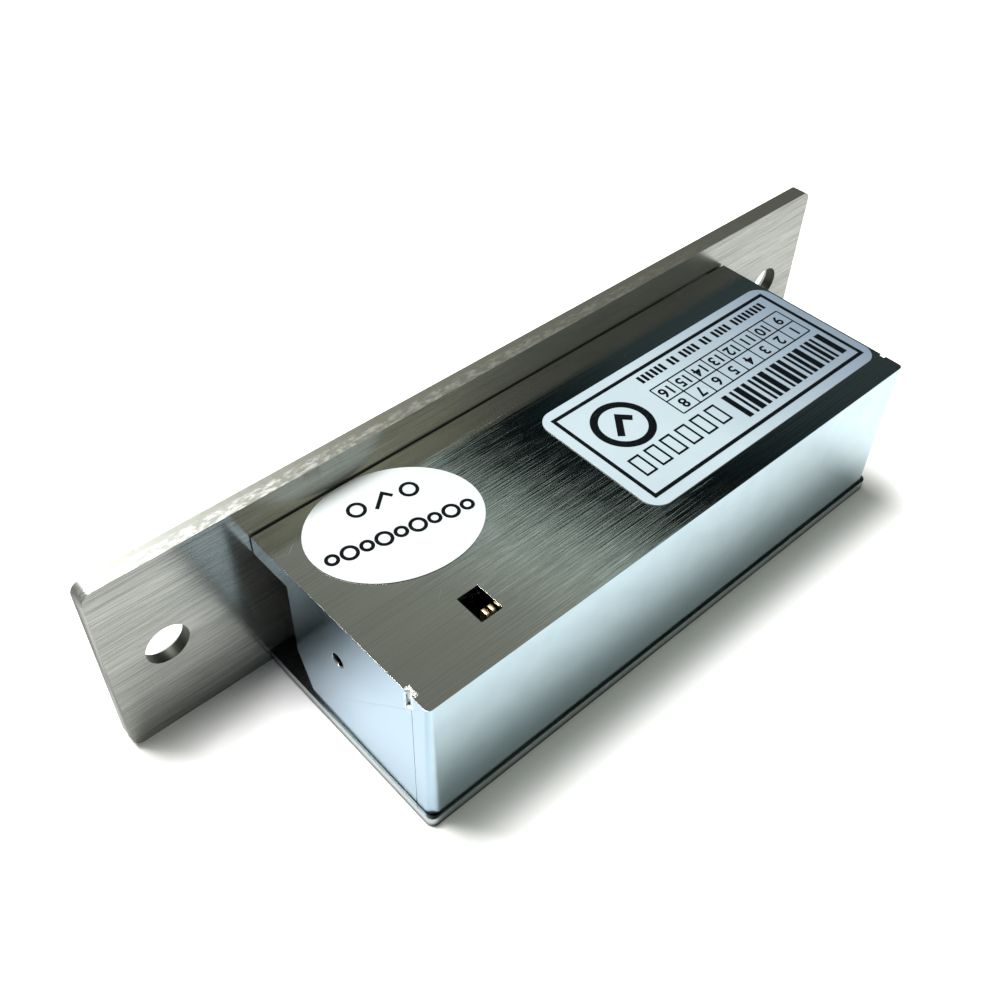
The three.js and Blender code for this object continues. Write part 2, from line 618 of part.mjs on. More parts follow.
function buildSolenoid() {
  const group = new THREE.Group();
  group.add(piece('solenoid_yoke', makeSolenoidYoke(), softIron));
  group.add(piece('solenoid_end_plate', makeSolenoidEndPlate(), softIron));
  const { left, right, flange, tubeRadius } = bobbin;
  const between = [left + flange + 0.15, right - flange - 0.15];
  const turnedPieces = [
    piece('coil_bobbin', makeBobbin(), whitePlastic),
    piece('coil_winding', ring(tubeRadius + 0.1, winding.radius, between), copperWire),
    piece('coil_tape', ring(winding.radius + 0.1, winding.tapeRadius, between), yellowTape),
    piece('fixed_core', makeFixedCore(), softIron),
  ];
  for (const part of turnedPieces) group.add(at(layAlongX(part), 0, coilAxis.y, coilAxis.z));
  group.add(piece('plunger', makePlunger(), softIron));
  const linkPin = piece('plunger_pin', rod('z', linkPinRadius, [-3.3, 3.3], [0, 0, 0], 16), machinedSteel);
  group.add(at(linkPin, leverPivot.x, coilAxis.y, coilAxis.z));
  solenoidScrew.x.forEach((x, i) => {
    const shape = cheeseHeadScrew(solenoidScrew.radius, solenoidScrew.headRadius, 3.6);
    const screw = piece(`solenoid_screw_${i + 1}`, shape, machinedSteel);
    group.add(at(screw, x, solenoidScrew.y, yoke.top - yoke.plateThickness - 0.1));
  });
  return group;
}

function buildTerminals() {
  const group = new THREE.Group();
  group.add(piece('terminal_block', makeTerminalBlock(), blackPlastic));
  contact.x.forEach((x, i) => {
    group.add(piece(`terminal_contact_${i + 1}`, makeContact(x), brass));
  });
  terminalScrew.x.forEach((x, i) => {
    const screw = piece(`terminal_screw_${i + 1}`,
      cheeseHeadScrew(terminalScrew.radius, terminalScrew.headRadius, 4), brass);
    group.add(at(layAlongY(screw), x, block.y[0] - 0.1, terminalScrew.z));
  });
  group.add(piece('coil_lead_red', makeLead(0), redLead));
  group.add(piece('coil_lead_black', makeLead(2.2), blackLead));
  return group;
}

const strike = new THREE.Group();
strike.add(buildCase(), buildKeeper(), buildLockLever(), buildSolenoid(), buildTerminals());

export default strike;
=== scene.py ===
"""An electric door strike lying on a white table, seen from above its case.

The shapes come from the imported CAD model. This script gives every piece its material, rounds the
hard edges, prints the two labels, and sets the floor, the lights and the camera.

Places are in the part's own frame: +X runs along the faceplate, +Y into the door frame and +Z towards
the labelled side of the case. Lengths are in metres where a comment doesn't say millimetres.
"""

import json
import math

import bmesh
import bpy
from mathutils import Matrix, Vector


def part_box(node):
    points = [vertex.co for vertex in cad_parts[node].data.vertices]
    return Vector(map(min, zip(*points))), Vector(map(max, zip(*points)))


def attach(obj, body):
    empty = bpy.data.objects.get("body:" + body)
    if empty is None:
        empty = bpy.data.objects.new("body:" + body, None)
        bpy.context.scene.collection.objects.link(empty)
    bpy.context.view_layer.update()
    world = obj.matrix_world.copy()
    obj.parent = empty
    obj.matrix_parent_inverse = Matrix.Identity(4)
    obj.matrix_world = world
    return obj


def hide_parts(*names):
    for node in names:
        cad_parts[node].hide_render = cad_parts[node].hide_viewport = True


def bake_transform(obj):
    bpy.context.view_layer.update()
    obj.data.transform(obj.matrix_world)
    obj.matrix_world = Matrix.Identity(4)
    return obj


MM = 0.001

# The camera: places and lens in millimetres, its near clip in metres.
CAMERA_PLACE = (97.6, 102.0, 127.1)
CAMERA_TARGET = (12.4, 12.7, 0.0)
CAMERA_ROLL = math.radians(1.87)
CAMERA_LENS = 40.475
SENSOR_WIDTH = 36
NEAR_CLIP = 0.005

# The table and the window, a square soft light, in metres and watts.
TABLE_WIDTH = 3.0
WINDOW_PLACE = (0.085, -0.17, 0.60)
WINDOW_TARGET = (0, 0.02, 0)
WINDOW_SIZE = 0.28
WINDOW_POWER = 9.2
WINDOW_COLOUR = (1.0, 0.99, 0.98)

# The room's tone by direction. A direction's number is its x part plus the skew times
# its y part. From this camera the case's top mirrors the numbers from about -0.97 to -0.60.
ROOM_SKEW = 0.59
ROOM_TONES = (
    (-1.16, (0.07, 0.10, 0.105)),
    (-0.955, (0.06, 0.085, 0.09)),
    (-0.905, (0.05, 0.075, 0.08)),
    (-0.88, (0.025, 0.045, 0.05)),
    (-0.865, (0.003, 0.006, 0.007)),
    (-0.806, (0.004, 0.008, 0.009)),
    (-0.790, (0.018, 0.028, 0.030)),
    (-0.779, (0.08, 0.11, 0.105)),
    (-0.770, (0.62, 0.78, 0.72)),
    (-0.757, (1.10, 1.32, 1.24)),
    (-0.742, (0.50, 0.60, 0.56)),
    (-0.725, (0.35, 0.39, 0.345)),
    (-0.695, (0.40, 0.42, 0.37)),
    (-0.635, (0.31, 0.33, 0.28)),
    (-0.535, (0.33, 0.35, 0.33)),
    (-0.40, (0.30, 0.31, 0.28)),
    (-0.17, (0.30, 0.31, 0.28)),
    (-0.12, (1.45, 1.45, 1.15)),
    (0.05, (1.45, 1.45, 1.15)),
    (0.15, (0.10, 0.11, 0.12)),
    (1.16, (0.10, 0.11, 0.12)),
)

# What the camera sees behind the table in place of the room.
BACKDROP_TONE = (0.50, 0.51, 0.50)

# The CAD's triangles: which points are welded, what counts as flat and as a sharp edge, and the radii
# of the edges.
WELD_DISTANCE = 0.000002
FLAT_ANGLE = math.radians(1)
SHARP_ANGLE = math.radians(38)
EDGE_RADIUS = {
    "faceplate": 0.00030,
    "housing_shell": 0.00022,
    "bottom_cover": 0.00030,
    "oval_label": 0.00004,
    "main_label": 0.00004,
}
OTHER_EDGE_RADIUS = 0.00012
WIRES = ("keeper_spring_left", "keeper_spring_right", "lever_spring", "coil_lead_red", "coil_lead_black")

# The labels, in millimetres. The print on the oval label is turned a little against the label.
INK_LIFT = 0.012
OVAL_TURN = math.radians(-14.8)
PRINT_TURN = math.radians(3.7)
RING_STEPS = 64

# The numerals: their height as a share of the font's size, and how much their strokes are thickened.
NUMERAL_SHARE = 0.70
NUMERAL_BOLD = 0.025

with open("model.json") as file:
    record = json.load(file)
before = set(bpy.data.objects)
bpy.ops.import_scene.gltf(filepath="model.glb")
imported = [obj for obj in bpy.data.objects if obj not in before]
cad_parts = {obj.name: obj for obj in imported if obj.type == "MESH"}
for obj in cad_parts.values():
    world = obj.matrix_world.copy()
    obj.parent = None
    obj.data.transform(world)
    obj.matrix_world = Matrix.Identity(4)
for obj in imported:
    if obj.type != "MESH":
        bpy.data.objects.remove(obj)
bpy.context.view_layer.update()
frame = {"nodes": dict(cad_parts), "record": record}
nodes = frame["nodes"]

# Where the materials' masks lie: the far corners of the faceplate and the case, the cover's lower face,
# how far a mask reaches in from an edge, and the relief at the case's bent corners along Y.
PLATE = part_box("faceplate")[1]
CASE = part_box("housing_shell")[1]
COVER_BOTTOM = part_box("bottom_cover")[0].z
EDGE_BAND = 0.0006
RELIEF_FRONT = 0.0372
RELIEF_BACK = 0.0381


# ---------------------------------------------------------------- materials: the tool


class Look:
    """One procedural material, built up node by node.

    Object coordinates are the part's own frame in metres, so a scale is a count per metre.
    """

    def __init__(self, name, **sockets):
        self.material = bpy.data.materials.new(name)
        self.material.use_nodes = True
        self.tree = self.material.node_tree
        self.shader = self.tree.nodes["Principled BSDF"]
        self.set(**sockets)

    def set(self, **sockets):
        """Feeds the shader's sockets, named like base_color or specular_ior_level."""
        for name, value in sockets.items():
            title = " ".join("IOR" if word == "ior" else word.title() for word in name.split("_"))
            self.feed(self.shader.inputs[title], value)

    def feed(self, socket, value):
        """Links a socket to another socket, or sets it to a number or a colour."""
        if isinstance(value, bpy.types.NodeSocket):
            self.tree.links.new(value, socket)
        elif socket.type == "RGBA" and len(value) == 3:
            socket.default_value = (*value, 1)
        else:
            socket.default_value = value

    def node(self, kind, inputs=None, **settings):
        """A shader node of that kind, with its inputs fed and its settings made."""
        node = self.tree.nodes.new("ShaderNode" + kind)
        for name, value in settings.items():
            setattr(node, name, value)
        for key, value in (inputs or {}).items():
            self.feed(node.inputs[key], value)
        return node

    def place(self, scale=(1, 1, 1), turn=(0, 0, 0)):
        """The place on the part, turned by some degrees and then stretched."""
        here = self.node("TexCoord").outputs["Object"]
        radians = [math.radians(angle) for angle in turn]
        turned = self.node("Mapping", {"Vector": here, "Rotation": radians})
        stretched = self.node("Mapping", {"Vector": turned.outputs[0], "Scale": scale})
        return stretched.outputs[0]

    def noise(self, scale, detail=3.0, turn=(0, 0, 0), roughness=0.5):
        """Noise from 0 to 1 with scale = (x, y, z) grains per metre."""
        here = self.place(scale, turn)
        inputs = {"Vector": here, "Scale": 1.0, "Detail": detail, "Roughness": roughness}
        return self.node("TexNoise", inputs).outputs["Fac"]

    def ramp(self, value, start, end, low=0.0, high=1.0):
        """low below start, high above end, and a straight line between them."""
        inputs = {"Value": value, "From Min": start, "From Max": end, "To Min": low, "To Max": high}
        return self.node("MapRange", inputs).outputs["Result"]

    def math(self, operation, a, b=0.0):
        """A sum, a product or another operation on numbers."""
        return self.node("Math", {0: a, 1: b}, operation=operation).outputs[0]

    def blend(self, amount, a, b):
        """Colour a where amount is 0 and colour b where it is 1."""
        return self.node("Mix", {0: amount, 6: a, 7: b}, data_type="RGBA").outputs[2]

    def mix(self, amount, a, b):
        """Number a where amount is 0 and number b where it is 1."""
        return self.node("Mix", {0: amount, 2: a, 3: b}).outputs[0]

    def bump(self, height, depth, strength):
        """Relief with depth in metres. Call it once: it feeds the shader's normal."""
        inputs = {"Height": height, "Distance": depth, "Strength": strength}
        self.set(normal=self.node("Bump", inputs).outputs[0])

    def facing(self, axis):
        """The size of the surface normal's x, y or z part, from 0 to 1."""
        normal = self.node("TexCoord").outputs["Normal"]
        part = self.node("SeparateXYZ", {0: normal}).outputs[axis.upper()]
        return self.math("ABSOLUTE", part)

    def along(self, axis):
        """The place along x, y or z, in metres."""
        here = self.node("TexCoord").outputs["Object"]
        return self.node("SeparateXYZ", {0: here}).outputs[axis.upper()]

    def beyond(self, axis, limit, soft=0.0002):
        """1 where the place along x, y or z is further from 0 than the limit, to either side."""
        return self.ramp(self.math("ABSOLUTE", self.along(axis)), limit - soft, limit + soft)

    def all_of(self, *masks):
        """1 where every mask is 1."""
        whole = masks[0]
        for mask in masks[1:]:
            whole = self.math("MULTIPLY", whole, mask)
        return whole

    def without(self, mask):
        """1 where the mask is 0."""
        return self.math("SUBTRACT", 1.0, mask)

    def brush_along_x(self, amount):
        """Highlights stretched across brush lines that run along X."""
        normal = self.node("NewGeometry").outputs["Normal"]
        across = self.node("VectorMath", {0: normal, 1: (1, 0, 0)}, operation="CROSS_PRODUCT")
        self.set(anisotropic=amount, tangent=across.outputs[0])


def scratches(look, turn, density):
    """A mask of a few fine straight scratches, all turned by the same angle about Z."""
    lines = look.noise((60, 2600, 2600), detail=1.0, turn=(0, 0, turn))
    patches = look.noise((140, 140, 140), detail=1.0, turn=(0, 0, turn + 40))
    where = look.ramp(patches, 0.64 - density, 0.70 - density)
    return look.math("MULTIPLY", look.ramp(lines, 0.70, 0.76), where)


def specks(look, size, share):
    """A mask of small round specks. share is roughly how much of the surface they cover."""
    grains = look.noise((1 / size, 1 / size, 1 / size), detail=2.0)
    return look.ramp(grains, 0.80 - share, 0.84 - share)


# ---------------------------------------------------------------- materials: the metals


def brushed_steel(name, light, dark, roughness, brush, grain, metallic=1.0):
    """Steel brushed along X, as a look, its tone, its lines and their gloss."""
    look = Look(name, metallic=metallic)
    fine = look.noise(grain, detail=3.0, roughness=0.7)
    broad = look.noise((6, 380, 380), detail=3.0)
    lines = look.math("ADD", look.math("MULTIPLY", fine, 0.75), look.math("MULTIPLY", broad, 0.25))
    tone = look.blend(look.ramp(lines, 0.40, 0.60), dark, light)
    look.brush_along_x(brush)
    return look, tone, lines, look.ramp(lines, 0.35, 0.65, roughness + 0.03, roughness - 0.03)


def faceplate_steel():
    """Stainless strip, brushed along its length, with sheared edges, and bores painted dark as shade.

    A long edge is smooth next to the front face and torn next to the back. Both parts are bright at the
    +X end and darker towards the other: a painted highlight that fades into painted shade.
    """
    look, tone, lines, gloss = brushed_steel(
        "faceplate_steel",
        light=(0.310, 0.320, 0.300),
        dark=(0.180, 0.190, 0.175),
        roughness=0.22,
        brush=0.75,
        grain=(90, 4600, 4600),
        metallic=0.82,
    )
    rim = look.ramp(look.facing("y"), 0.80, 0.60)
    long_edge = look.all_of(rim, look.beyond("z", PLATE.z - EDGE_BAND))
    short_edge = look.all_of(rim, look.beyond("x", PLATE.x - EDGE_BAND))
    tears = look.noise((520, 1300, 1300), detail=5.0, roughness=0.72)
    next_to_back = look.ramp(look.along("y"), 0.3 * PLATE.y, 0.5 * PLATE.y)
    torn = look.all_of(look.ramp(tears, 0.46, 0.60), next_to_back)
    # Painted light along the long edges: near_end gives a painted highlight at +X, dull gives painted
    # shade towards -X.
    near_end = look.ramp(look.along("x"), 0.026, 0.066)
    smooth = look.blend(near_end, (0.17, 0.17, 0.145), (0.27, 0.28, 0.26))
    rough = look.blend(near_end, (0.30, 0.30, 0.27), (0.60, 0.61, 0.59))
    dull = look.ramp(look.along("x"), 0.010, -0.060)
    long_tone = look.blend(dull, look.blend(torn, smooth, rough), (0.14, 0.14, 0.12))
    # Painted shade: the bores and the other faces that don't face along Y are painted near black.
    skin = look.blend(rim, tone, (0.05, 0.055, 0.045))
    skin = look.blend(short_edge, skin, (0.15, 0.155, 0.145))
    look.set(base_color=look.blend(long_edge, skin, long_tone))
    look.set(roughness=look.mix(rim, gloss, 0.55))
    rough_edge = look.all_of(long_edge, look.math("MULTIPLY", tears, 5.0))
    look.bump(look.math("ADD", lines, rough_edge), 0.00003, 0.35)
    return look.material


def case_steel():
    """Sheet steel: a brushed top, and walls with a bright bluish zinc plating."""
    look, tone, lines, gloss = brushed_steel(
        "case_steel",
        light=(0.47, 0.475, 0.45),
        dark=(0.40, 0.405, 0.39),
        roughness=0.06,
        brush=0.8,
        grain=(22, 3400, 3400),
    )
    mottle = look.noise((260, 260, 260), detail=3.0)
    zinc = look.blend(look.ramp(mottle, 0.35, 0.65), (0.345, 0.455, 0.505), (0.375, 0.49, 0.54))
    # Painted shade: the walls that face along X, the case's ends, are painted darker than the back wall.
    zinc = look.blend(look.ramp(look.facing("x"), 0.3, 0.9), zinc, (0.245, 0.345, 0.43))
    zinc = look.blend(specks(look, 0.0007, 0.05), zinc, (0.12, 0.14, 0.15))
    nicks = look.math("MAXIMUM", scratches(look, -38, 0.05), scratches(look, 12, 0.03))
    tone = look.blend(nicks, tone, (0.85, 0.85, 0.84))
    top = look.ramp(look.facing("z"), 0.75, 0.90)
    off_wall = look.ramp(look.facing("z"), 0.20, 0.35)
    off_top = look.ramp(look.facing("z"), 0.985, 0.94)
    bend = look.all_of(off_wall, off_top)
    # Painted shade: the rounded bends between the top and the walls are painted dark.
    skin = look.blend(bend, look.blend(top, zinc, tone), (0.16, 0.17, 0.17))
    # Torn metal and painted highlights: the torn corner and the glints on the bends are painted near
    # white.
    chips_and_glints = torn_spots(look, bend)
    look.set(base_color=look.blend(chips_and_glints, skin, (0.97, 0.98, 0.98)))
    polish = look.mix(top, 0.15, gloss)
    rough = look.math("MAXIMUM", bend, chips_and_glints)
    look.set(roughness=look.mix(rough, polish, 0.6))
    relief = look.math("ADD", look.math("MULTIPLY", lines, top), look.math("MULTIPLY", chips_and_glints, 3.0))
    look.bump(relief, 0.000045, 0.45)
    return look.material


def torn_spots(look, bend):
    """Painted highlights on the case's bent edges: glints by the plate, and the torn corner at the +X
    relief.
    """
    grains = look.noise((2400, 2400, 2400), detail=3.0, roughness=0.7)
    near_plate = look.without(look.beyond("y", 0.015, soft=0.004))
    at_ends = look.beyond("x", CASE.x - 0.0008)
    # Painted glints: near-white specks on the bends close to the plate.
    glints_by_plate = look.all_of(bend, near_plate, at_ends, look.ramp(grains, 0.57, 0.60))
    past_relief = look.beyond("y", RELIEF_BACK + 0.0004)
    band = look.all_of(look.beyond("y", RELIEF_FRONT - 0.0003), look.without(past_relief))
    high = look.ramp(look.along("z"), CASE.z - 0.0042, CASE.z - 0.0017)
    near_end = look.ramp(look.along("x"), CASE.x - 0.0010, CASE.x - 0.0008)
    corner = look.all_of(band, high, near_end, look.ramp(grains, 0.46, 0.52))
    return look.math("MAXIMUM", glints_by_plate, corner)


def cover_steel():
    """The thin bottom cover: plated like the case walls. Its edge is bright between two lines of painted
    shade.
    """
    look = Look("cover_steel", metallic=1.0)
    mottle = look.noise((180, 180, 180), detail=4.0)
    skin = look.blend(mottle, (0.32, 0.37, 0.38), (0.40, 0.45, 0.46))
    level = look.ramp(look.facing("z"), 0.80, 0.95)
    low = look.ramp(look.along("z"), COVER_BOTTOM + 0.0011, COVER_BOTTOM + 0.0005)
    underside = look.all_of(level, low)
    # Painted shade: the ledge on top and a strip along the bottom of the edge, where the contact shadow
    # falls, are painted near black.
    dull = look.all_of(look.math("MAXIMUM", level, low), look.without(underside))
    look.set(base_color=look.blend(dull, skin, (0.07, 0.08, 0.08)))
    look.set(roughness=look.ramp(mottle, 0.3, 0.7, 0.22, 0.32))
    look.bump(look.noise((900, 900, 900)), 0.00001, 0.3)
    return look.material


def cast_zinc():
    """Die-cast zinc: a grey, grainy skin with bright specks painted in as glints."""
    look = Look("cast_zinc", metallic=0.6)
    grain = look.noise((1300, 1300, 1300), detail=5.0, roughness=0.7)
    # Painted glints: near-white specks in the colour.
    painted_glints = look.ramp(look.noise((2600, 2600, 2600), detail=2.0), 0.58, 0.66)
    skin = look.blend(look.ramp(grain, 0.35, 0.65), (0.25, 0.26, 0.28), (0.46, 0.48, 0.50))
    look.set(base_color=look.blend(painted_glints, skin, (0.86, 0.90, 0.93)))
    look.set(roughness=look.ramp(grain, 0.35, 0.65, 0.34, 0.55))
    look.bump(grain, 0.00012, 0.8)
    return look.material


def keeper_steel():
    """The sprung jaw: nickelled steel, polished by the latch bolt that slides over it."""
    look, tone, lines, gloss = brushed_steel(
        "keeper_steel",
        light=(0.31, 0.30, 0.28),
        dark=(0.22, 0.215, 0.20),
        roughness=0.26,
        brush=0.5,
        grain=(90, 4600, 4600),
    )
    wear = look.noise((90, 240, 240), detail=5.0, roughness=0.65)
    look.set(base_color=look.blend(look.ramp(wear, 0.50, 0.68), tone, (0.40, 0.395, 0.38)))
    look.set(roughness=gloss)
    look.bump(lines, 0.00002, 0.4)
    return look.material


def machined_steel():
    """Turned pins and screws: stained steel with the fine marks of a lathe tool."""
    look = Look("machined_steel", metallic=1.0)
    marks = look.noise((2400, 300, 300), detail=2.0)
    stain = look.noise((500, 500, 500), detail=4.0)
    look.set(base_color=look.blend(look.ramp(stain, 0.35, 0.7), (0.33, 0.33, 0.32), (0.23, 0.23, 0.22)))
    look.set(roughness=look.ramp(stain, 0.3, 0.7, 0.22, 0.38))
    look.bump(marks, 0.00002, 0.35)
    return look.material


def spring_steel():
    """Hard-drawn spring wire: grey-brown and smooth."""
    look = Look("spring_steel", metallic=1.0)
    heat = look.noise((420, 420, 420), detail=3.0)
    look.set(base_color=look.blend(heat, (0.30, 0.27, 0.23), (0.52, 0.50, 0.46)))
    look.set(roughness=look.ramp(heat, 0.3, 0.7, 0.24, 0.34))
    return look.material


def soft_iron():
    """The coil's iron parts: a dull yellow-grey zinc chromate over stamped iron."""
    look = Look("soft_iron", metallic=1.0)
    cloud = look.noise((160, 160, 160), detail=4.0)
    base = look.blend(cloud, (0.56, 0.55, 0.47), (0.44, 0.46, 0.45))
    look.set(base_color=look.blend(specks(look, 0.0005, 0.06), base, (0.22, 0.20, 0.16)))
    look.set(roughness=look.ramp(cloud, 0.3, 0.7, 0.32, 0.48))
    look.bump(look.noise((1800, 1800, 1800)), 0.00002, 0.4)
    return look.material


def terminal_brass():
    """Bright brass contacts and screws, slightly tarnished."""
    look = Look("terminal_brass", metallic=1.0)
    tarnish = look.noise((900, 900, 900), detail=4.0)
    dull = look.ramp(tarnish, 0.35, 0.7)
    look.set(base_color=look.blend(dull, (0.90, 0.70, 0.36), (0.55, 0.38, 0.16)))
    look.set(roughness=look.ramp(tarnish, 0.3, 0.7, 0.20, 0.38))
    look.bump(tarnish, 0.00002, 0.3)
    return look.material


def copper_winding():
    """Enamelled copper wire in tight turns about the coil's axis, which runs along X."""
    look = Look("copper_winding", metallic=1.0, coat_weight=0.6, coat_roughness=0.12)
    band_scale = 1 / 0.0019  # A band every 0.6 mm.
    inputs = {"Vector": look.place(), "Scale": band_scale, "Distortion": 0.4, "Detail": 1.0}
    turns = look.node("TexWave", inputs, bands_direction="X").outputs["Fac"]
    # Painted light: the copper is darker in the grooves between turns and lighter on their crests.
    look.set(base_color=look.blend(turns, (0.30, 0.10, 0.04), (0.75, 0.33, 0.15)))
    look.set(roughness=look.ramp(turns, 0.0, 1.0, 0.42, 0.26))
    look.bump(turns, 0.00008, 0.8)
    return look.material


# ---------------------------------------------------------------- materials: the rest


def moulded(name, colour, gloss=0.42):
    """Moulded plastic: a slightly cloudy colour with a fine skin, duller in the skin's hollows."""
    look = Look(name, specular_ior_level=0.5)
    skin = look.noise((1400, 1400, 1400), detail=3.0)
    cloud = look.noise((120, 120, 120), detail=2.0)
    shade = [channel * 0.8 for channel in colour]
    look.set(base_color=look.blend(look.ramp(cloud, 0.3, 0.7), shade, colour))
    look.set(roughness=look.ramp(skin, 0.3, 0.7, gloss - 0.06, gloss + 0.08))
    look.bump(skin, 0.00002, 0.4)
    return look.material


def coil_tape():
    """The tape round the winding: yellow film with faint creases."""
    look = Look("yellow_tape", coat_weight=0.3, coat_roughness=0.2)
    creases = look.noise((60, 500, 500), detail=4.0, turn=(0, 20, 0))
    # Painted shade: the tape is darker in the hollows of its creases.
    look.set(base_color=look.blend(creases, (0.72, 0.46, 0.05), (0.84, 0.60, 0.12)))
    look.set(roughness=look.ramp(creases, 0.3, 0.7, 0.30, 0.46))
    look.bump(creases, 0.00005, 0.5)
    return look.material


def label_film():
    """White label film, satin and a little uneven.

    The long label is bluer than the oval one, and painted darker towards its far end as shade.
    """
    look = Look("label_film", specular_ior_level=0.5)
    fibre = look.noise((700, 700, 700), detail=4.0)
    cloud = look.noise((70, 70, 70), detail=2.0)
    tint = look.blend(look.ramp(cloud, 0.3, 0.7), (0.27, 0.33, 0.365), (0.285, 0.35, 0.38))
    # Painted shade: the long label darkens towards its far end at -X.
    far_end = look.ramp(look.along("x"), -0.015, -0.050)
    tint = look.blend(far_end, tint, (0.12, 0.155, 0.20))
    oval = look.ramp(look.along("x"), 0.011, 0.013)
    look.set(base_color=look.blend(oval, tint, (0.40, 0.43, 0.435)))
    look.set(roughness=look.ramp(fibre, 0.3, 0.7, 0.30, 0.40))
    look.bump(fibre, 0.000008, 0.3)
    return look.material


def label_ink():
    """Black printing ink, slightly thin in places."""
    look = Look("label_ink", specular_ior_level=0.02)
    thin = look.noise((1500, 1500, 1500), detail=3.0)
    worn = look.ramp(thin, 0.60, 0.75)
    look.set(base_color=look.blend(worn, (0.002, 0.003, 0.004), (0.010, 0.013, 0.016)))
    look.set(roughness=look.ramp(thin, 0.3, 0.7, 0.45, 0.6))
    return look.material


def table_white():
    """The white table. From below it is clear, so that the part can be seen from there too."""
    look = Look("table_white", roughness=0.9, specular_ior_level=0.1)
    grain = look.noise((40, 40, 40), detail=2.0)
    look.set(base_color=look.blend(grain, (0.90, 0.90, 0.90), (0.92, 0.92, 0.92)))
    output = look.tree.nodes["Material Output"]
    clear = look.node("BsdfTransparent").outputs[0]
    below = look.node("NewGeometry").outputs["Backfacing"]
    sheet = look.node("MixShader", {0: below, 1: look.shader.outputs[0], 2: clear})
    look.feed(output.inputs["Surface"], sheet.outputs[0])
    return look.material


materials = {
    "faceplate_steel": faceplate_steel(),
    "case_steel": case_steel(),
    "cover_steel": cover_steel(),
    "cast_zinc": cast_zinc(),
    "keeper_steel": keeper_steel(),
    "machined_steel": machined_steel(),
    "spring_steel": spring_steel(),
    "soft_iron": soft_iron(),
    "copper_winding": copper_winding(),
    "terminal_brass": terminal_brass(),
    "black_plastic": moulded("black_plastic", (0.018, 0.018, 0.02)),
    "white_plastic": moulded("white_plastic", (0.74, 0.72, 0.66), gloss=0.36),
    "yellow_tape": coil_tape(),
    "red_insulation": moulded("red_insulation", (0.52, 0.02, 0.015), gloss=0.34),
    "black_insulation": moulded("black_insulation", (0.02, 0.02, 0.022), gloss=0.34),
    "label_film": label_film(),
}


# ---------------------------------------------------------------- the CAD pieces


def weld_triangles(piece):
    """Joins the points that the CAD's triangles share."""
    weld = piece.modifiers.new("weld", "WELD")
    weld.merge_threshold = WELD_DISTANCE


def finish_edges(piece, radius):
    """Joins the CAD's triangles into flat faces and rounds the sharp edges between them."""
    weld_triangles(piece)
    flats = piece.modifiers.new("flats", "DECIMATE")
    flats.decimate_type = "DISSOLVE"
    flats.angle_limit = FLAT_ANGLE
    bevel = piece.modifiers.new("edges", "BEVEL")
    bevel.limit_method = "ANGLE"
    bevel.angle_limit = SHARP_ANGLE
    bevel.width = radius
    bevel.segments = 2
    bevel.miter_outer = "MITER_ARC"
    normals = piece.modifiers.new("normals", "WEIGHTED_NORMAL")
    normals.keep_sharp = False
    normals.weight = 100


def finish_wire(piece):
    """Rounds a wire's eight sides."""
    weld_triangles(piece)
    smooth = piece.modifiers.new("round", "SUBSURF")
    smooth.levels = 1
    smooth.render_levels = 1


def dress_cad_pieces():
    """Gives every CAD piece the material of its slot, and round edges."""
    slots = {entry["node"]: entry["material_slot"] for entry in frame["record"]["subparts"]}
    for name, piece in nodes.items():
        piece.data.materials.clear()
        piece.data.materials.append(materials[slots[name]])
        piece.data.shade_smooth()
        if name in WIRES:
            finish_wire(piece)
        else:
            finish_edges(piece, EDGE_RADIUS.get(name, OTHER_EDGE_RADIUS))


def bend_lever_spring():
    """The lever's spring once more, as a copy that is shown in place of the CAD piece."""
    straight = nodes["lever_spring"]
    spring = bpy.data.objects.new("lever_spring_bending", straight.data.copy())
    spring.matrix_world = straight.matrix_world
    bpy.context.collection.objects.link(spring)
    finish_wire(spring)
    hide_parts("lever_spring")
    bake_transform(spring)


# ---------------------------------------------------------------- the print on the labels


